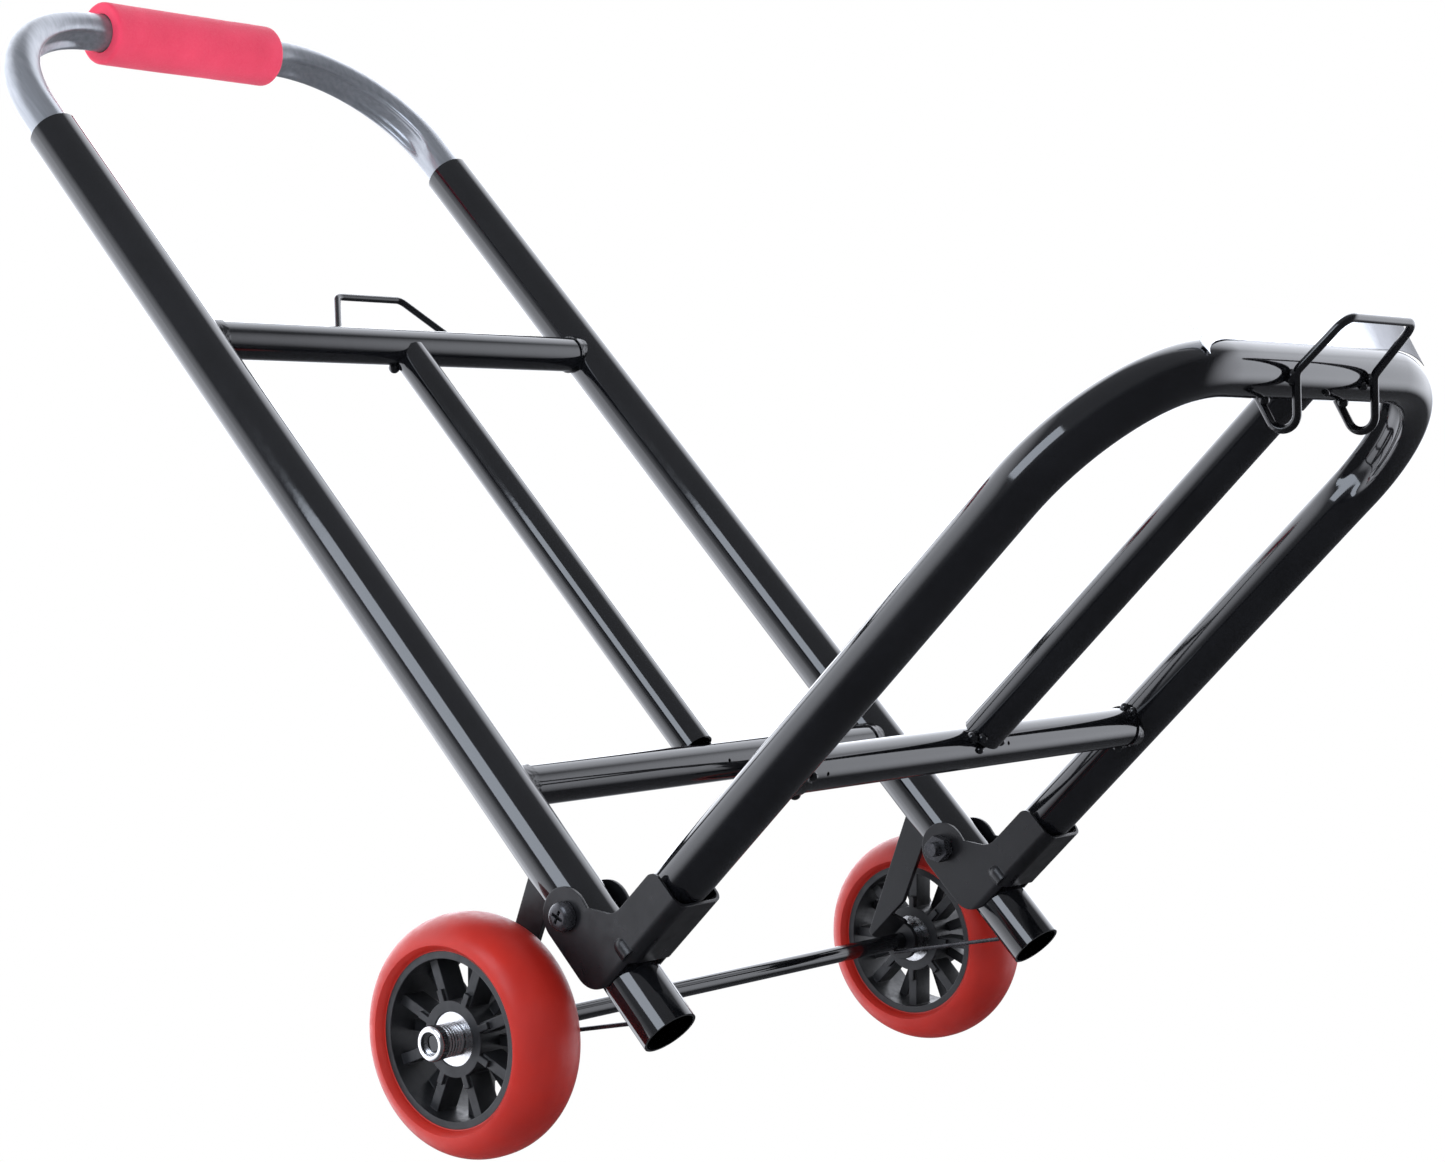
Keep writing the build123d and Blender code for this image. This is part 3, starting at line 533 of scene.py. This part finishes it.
def foam_grip():
    """The foam sleeve: soft rounded ends and a slightly uneven skin."""
    half = GRIP_HALF
    outer = GRIP_R - GRIP_SKIN_GAP
    inner = HANDLE_R + GRIP_BORE_GAP
    corner = GRIP_CORNER
    profile = [(-half + GRIP_END_SETBACK, inner)]
    profile += arc_points((-half + corner, outer - corner), (corner, corner), 180, 90, 6)
    for step in range(1, GRIP_STEPS):
        profile.append((-half + corner + (2 * half - 2 * corner) * step / GRIP_STEPS, outer))
    profile += arc_points((half - corner, outer - corner), (corner, corner), 90, 0, 6)
    profile.append((half - GRIP_END_SETBACK, inner))
    bm = lathe_x(profile, GRIP_SIDES, (0, 0, HANDLE_TOP))
    deepest_dip = GRIP_SWELL + GRIP_RIPPLE
    for vert in bm.verts:
        outward = Vector((0, vert.co.y, vert.co.z - HANDLE_TOP))
        on_the_skin = outward.length > outer - 3
        if on_the_skin:
            swell = noise.noise(vert.co * GRIP_SWELL_SCALE) * GRIP_SWELL
            ripple = noise.noise(vert.co * GRIP_RIPPLE_SCALE) * GRIP_RIPPLE
            vert.co += outward.normalized() * (swell + ripple - deepest_dip)
    piece = finish_mesh("foam_sleeve", bm, FOAM, "handle", ("foam_grip",), GRIP_SHARP_ANGLE)


foam_grip()

# ---- platform -------------------------------------------------------------------
crushed_u_tube(
    "platform_u",
    [
        (SIDE_X, PLATFORM_START, PLATFORM_Z), (SIDE_X, PLATFORM_REACH, PLATFORM_Z),
        (-SIDE_X, PLATFORM_REACH, PLATFORM_Z), (-SIDE_X, PLATFORM_START, PLATFORM_Z),
    ],
    PLATFORM_BEND, PLATFORM_R, PLATFORM_WALL, TUBE_PAINT, "platform", "platform_tube",
    PLATFORM_CRUSH,
)


# ---- tyres ------------------------------------------------------------------------
def tyre(side):
    """A round-shouldered moulded tyre."""
    half = TYRE_HALF - TYRE_SIDE_SETBACK
    bore = HUB_R - 0.05
    profile = [(-HUB_HALF, bore), (HUB_HALF, bore), (HUB_HALF + 0.2, HUB_R + 0.4)]
    profile.append((half - TYRE_LEDGE, HUB_R + 0.9))
    shoulder_start = HUB_R + TYRE_RIM_RISE
    radii = (TYRE_SHOULDER, TYRE_R - shoulder_start)
    profile += arc_points((half - TYRE_SHOULDER, shoulder_start), radii, 2, 88, TYRE_SHOULDER_STEPS)
    profile.append((0.5, TYRE_R))
    profile += [(-x, r) for x, r in reversed(profile[2:])]
    bm = lathe_x(profile, TYRE_SIDES, (side * WHEEL_X, AXLE_Y, AXLE_Z))
    name = "right" if side > 0 else "left"
    body, node = f"wheel_{name}", f"tyre_{name}"
    finish_mesh(f"tyre_skin_{name}", bm, TYRE_RED, body, (node,), TYRE_SHARP_ANGLE)


for wheel_side in (-1, 1):
    tyre(wheel_side)

# ---- the carried-over CAD pieces --------------------------------------------------
CAD_MATERIALS = {
    TUBE_PAINT: [
        "upright_left", "upright_right", "crossbar_top", "crossbar_lower", "center_brace",
        "platform_crossbar", "platform_brace", "axle_rod",
    ],
    WELD_PAINT: ["frame_welds", "platform_welds"],
    LIP_STEEL: ["toe_plate"],
    WIRE_PAINT: ["rear_hook", "toe_hook"],
    SHEET_PAINT: ["hinge_bracket_left", "hinge_bracket_right", "wheel_arm_left", "wheel_arm_right"],
    DARK_STEEL: [
        "pivot_bolt_left", "pivot_bolt_right", "pivot_nuts",
        "axle_sleeves", "axle_stay_left", "axle_stay_right",
    ],
    ZINC: ["axle_washers", "lock_nuts", "wheel_bushes_left", "wheel_bushes_right"],
    HUB_BLACK: ["hub_left", "hub_right"],
    NYLON: ["guide_bush_left", "guide_bush_right", "handle_plug_left", "handle_plug_right"],
}
for material, names in CAD_MATERIALS.items():
    for name in names:
        node = frame["nodes"][name]
        node.data.materials.clear()
        node.data.materials.append(material)
        node.data.shade_smooth()
        node.data.set_sharp_from_angle(angle=radians(CAD_SHARP_ANGLE))


# ---- studio -----------------------------------------------------------------------
def pale_floor():
    """A pale floor that only shows from above, so that a view from below sees past it."""
    bm = bmesh.new()
    bmesh.ops.create_grid(bm, x_segments=1, y_segments=1, size=3.0)
    mesh = bpy.data.meshes.new("studio_floor")
    bm.to_mesh(mesh)
    bm.free()
    floor = bpy.data.objects.new("studio_floor", mesh)
    floor.location = (0, 0, -0.0005)
    bpy.context.scene.collection.objects.link(floor)
    material = bpy.data.materials.new("pale_floor")
    material.use_nodes = True
    tree = material.node_tree
    shader = tree.nodes["Principled BSDF"]
    shader.inputs["Base Color"].default_value = (0.86, 0.86, 0.87, 1.0)
    shader.inputs["Roughness"].default_value = 0.6
    geometry = tree.nodes.new("ShaderNodeNewGeometry")
    clear = tree.nodes.new("ShaderNodeBsdfTransparent")
    mix = tree.nodes.new("ShaderNodeMixShader")
    tree.links.new(geometry.outputs["Backfacing"], mix.inputs["Fac"])
    tree.links.new(shader.outputs["BSDF"], mix.inputs[1])
    tree.links.new(clear.outputs["BSDF"], mix.inputs[2])
    tree.links.new(mix.outputs["Shader"], tree.nodes["Material Output"].inputs["Surface"])
    mesh.materials.append(material)
    floor.visible_shadow = False
    floor.visible_glossy = False


def soft_light(name, place, target, size, power, color=(1.0, 1.0, 1.0)):
    light = bpy.data.lights.new(name, "AREA")
    light.shape = "RECTANGLE"
    light.size, light.size_y = size
    light.energy = power
    light.color = color
    lamp = bpy.data.objects.new(name, light)
    lamp.location = place
    lamp.rotation_euler = (Vector(target) - Vector(place)).to_track_quat("-Z", "Y").to_euler()
    bpy.context.scene.collection.objects.link(lamp)
    return lamp


# Bright areas round the object: compass angle from +X, elevation, the angles from
# their middles at which they start and finish fading, all in degrees, and strength.
BRIGHT_AREAS = [
    (172, 32, 20, 44, 2.9),
    (160, -12, 16, 36, 2.9),
    (-72, 48, 24, 58, 2.9),
    (-150, 56, 18, 38, 3.4),
]
ROOM_ABOVE = 0.42
ROOM_BELOW = 0.12


def studio_world():
    """White to the camera. To the object, a dim room, darker below, with bright areas
    that stand in for a backdrop and softboxes."""
    world = bpy.data.worlds.new("studio")
    bpy.context.scene.world = world
    world.use_nodes = True
    tree = world.node_tree
    tree.nodes.clear()
    out = tree.nodes.new("ShaderNodeOutputWorld")
    seen = tree.nodes.new("ShaderNodeBackground")
    seen.inputs["Color"].default_value = (1.0, 1.0, 1.0, 1.0)
    room = tree.nodes.new("ShaderNodeBackground")
    room.inputs["Color"].default_value = (0.95, 0.98, 1.06, 1.0)
    coords = tree.nodes.new("ShaderNodeTexCoord")

    def fade(value, from_low, from_high, low, high):
        span = tree.nodes.new("ShaderNodeMapRange")
        span.interpolation_type = "SMOOTHSTEP"
        span.inputs["From Min"].default_value = from_low
        span.inputs["From Max"].default_value = from_high
        span.inputs["To Min"].default_value = low
        span.inputs["To Max"].default_value = high
        tree.links.new(value, span.inputs["Value"])
        return span.outputs["Result"]

    def facing(direction):
        toward = tree.nodes.new("ShaderNodeVectorMath")
        toward.operation = "DOT_PRODUCT"
        toward.inputs[1].default_value = direction
        tree.links.new(coords.outputs["Generated"], toward.inputs[0])
        return toward.outputs["Value"]

    light = fade(facing((0, 0, 1)), -0.1, 0.3, ROOM_BELOW, ROOM_ABOVE)
    for compass, elevation, inner, outer, strength in BRIGHT_AREAS:
        level = cos(radians(elevation))
        direction = (level * cos(radians(compass)), level * sin(radians(compass)), sin(radians(elevation)))
        area = fade(facing(direction), cos(radians(outer)), cos(radians(inner)), 0.0, strength)
        brighter = tree.nodes.new("ShaderNodeMath")
        brighter.operation = "MAXIMUM"
        tree.links.new(light, brighter.inputs[0])
        tree.links.new(area, brighter.inputs[1])
        light = brighter.outputs["Value"]
    tree.links.new(light, room.inputs["Strength"])
    path = tree.nodes.new("ShaderNodeLightPath")
    mix = tree.nodes.new("ShaderNodeMixShader")
    tree.links.new(path.outputs["Is Camera Ray"], mix.inputs["Fac"])
    tree.links.new(room.outputs["Background"], mix.inputs[1])
    tree.links.new(seen.outputs["Background"], mix.inputs[2])
    tree.links.new(mix.outputs["Shader"], out.inputs["Surface"])


pale_floor()
studio_world()
CENTER = (0.0, 0.0, 0.33)        # metres, as the lights' places are
key = soft_light("key_right", (2.1, -0.3, 1.15), CENTER, (1.7, 1.5), 26.0, (0.95, 0.97, 1.0))
key.visible_glossy = False
soft_light("side_box", (1.45, 0.40, 0.72), (0.0, 0.0, 0.30), (0.9, 0.75), 15.0, (0.80, 0.88, 1.0))
fill = soft_light("soft_front", (0.3, 1.9, 1.9), CENTER, (1.5, 1.0), 7.0)
fill.visible_glossy = False

camera_data = bpy.data.cameras.new("camera")
camera_data.lens = CAMERA_LENS
camera_data.sensor_width = 36.0
camera_data.clip_start = 0.05
camera_data.clip_end = 50.0
camera = bpy.data.objects.new("camera", camera_data)
camera.location = CAMERA_PLACE
camera.rotation_euler = [radians(angle) for angle in CAMERA_TURN]
bpy.context.scene.collection.objects.link(camera)
bpy.context.scene.camera = camera
bpy.context.scene.view_settings.view_transform = "Standard"
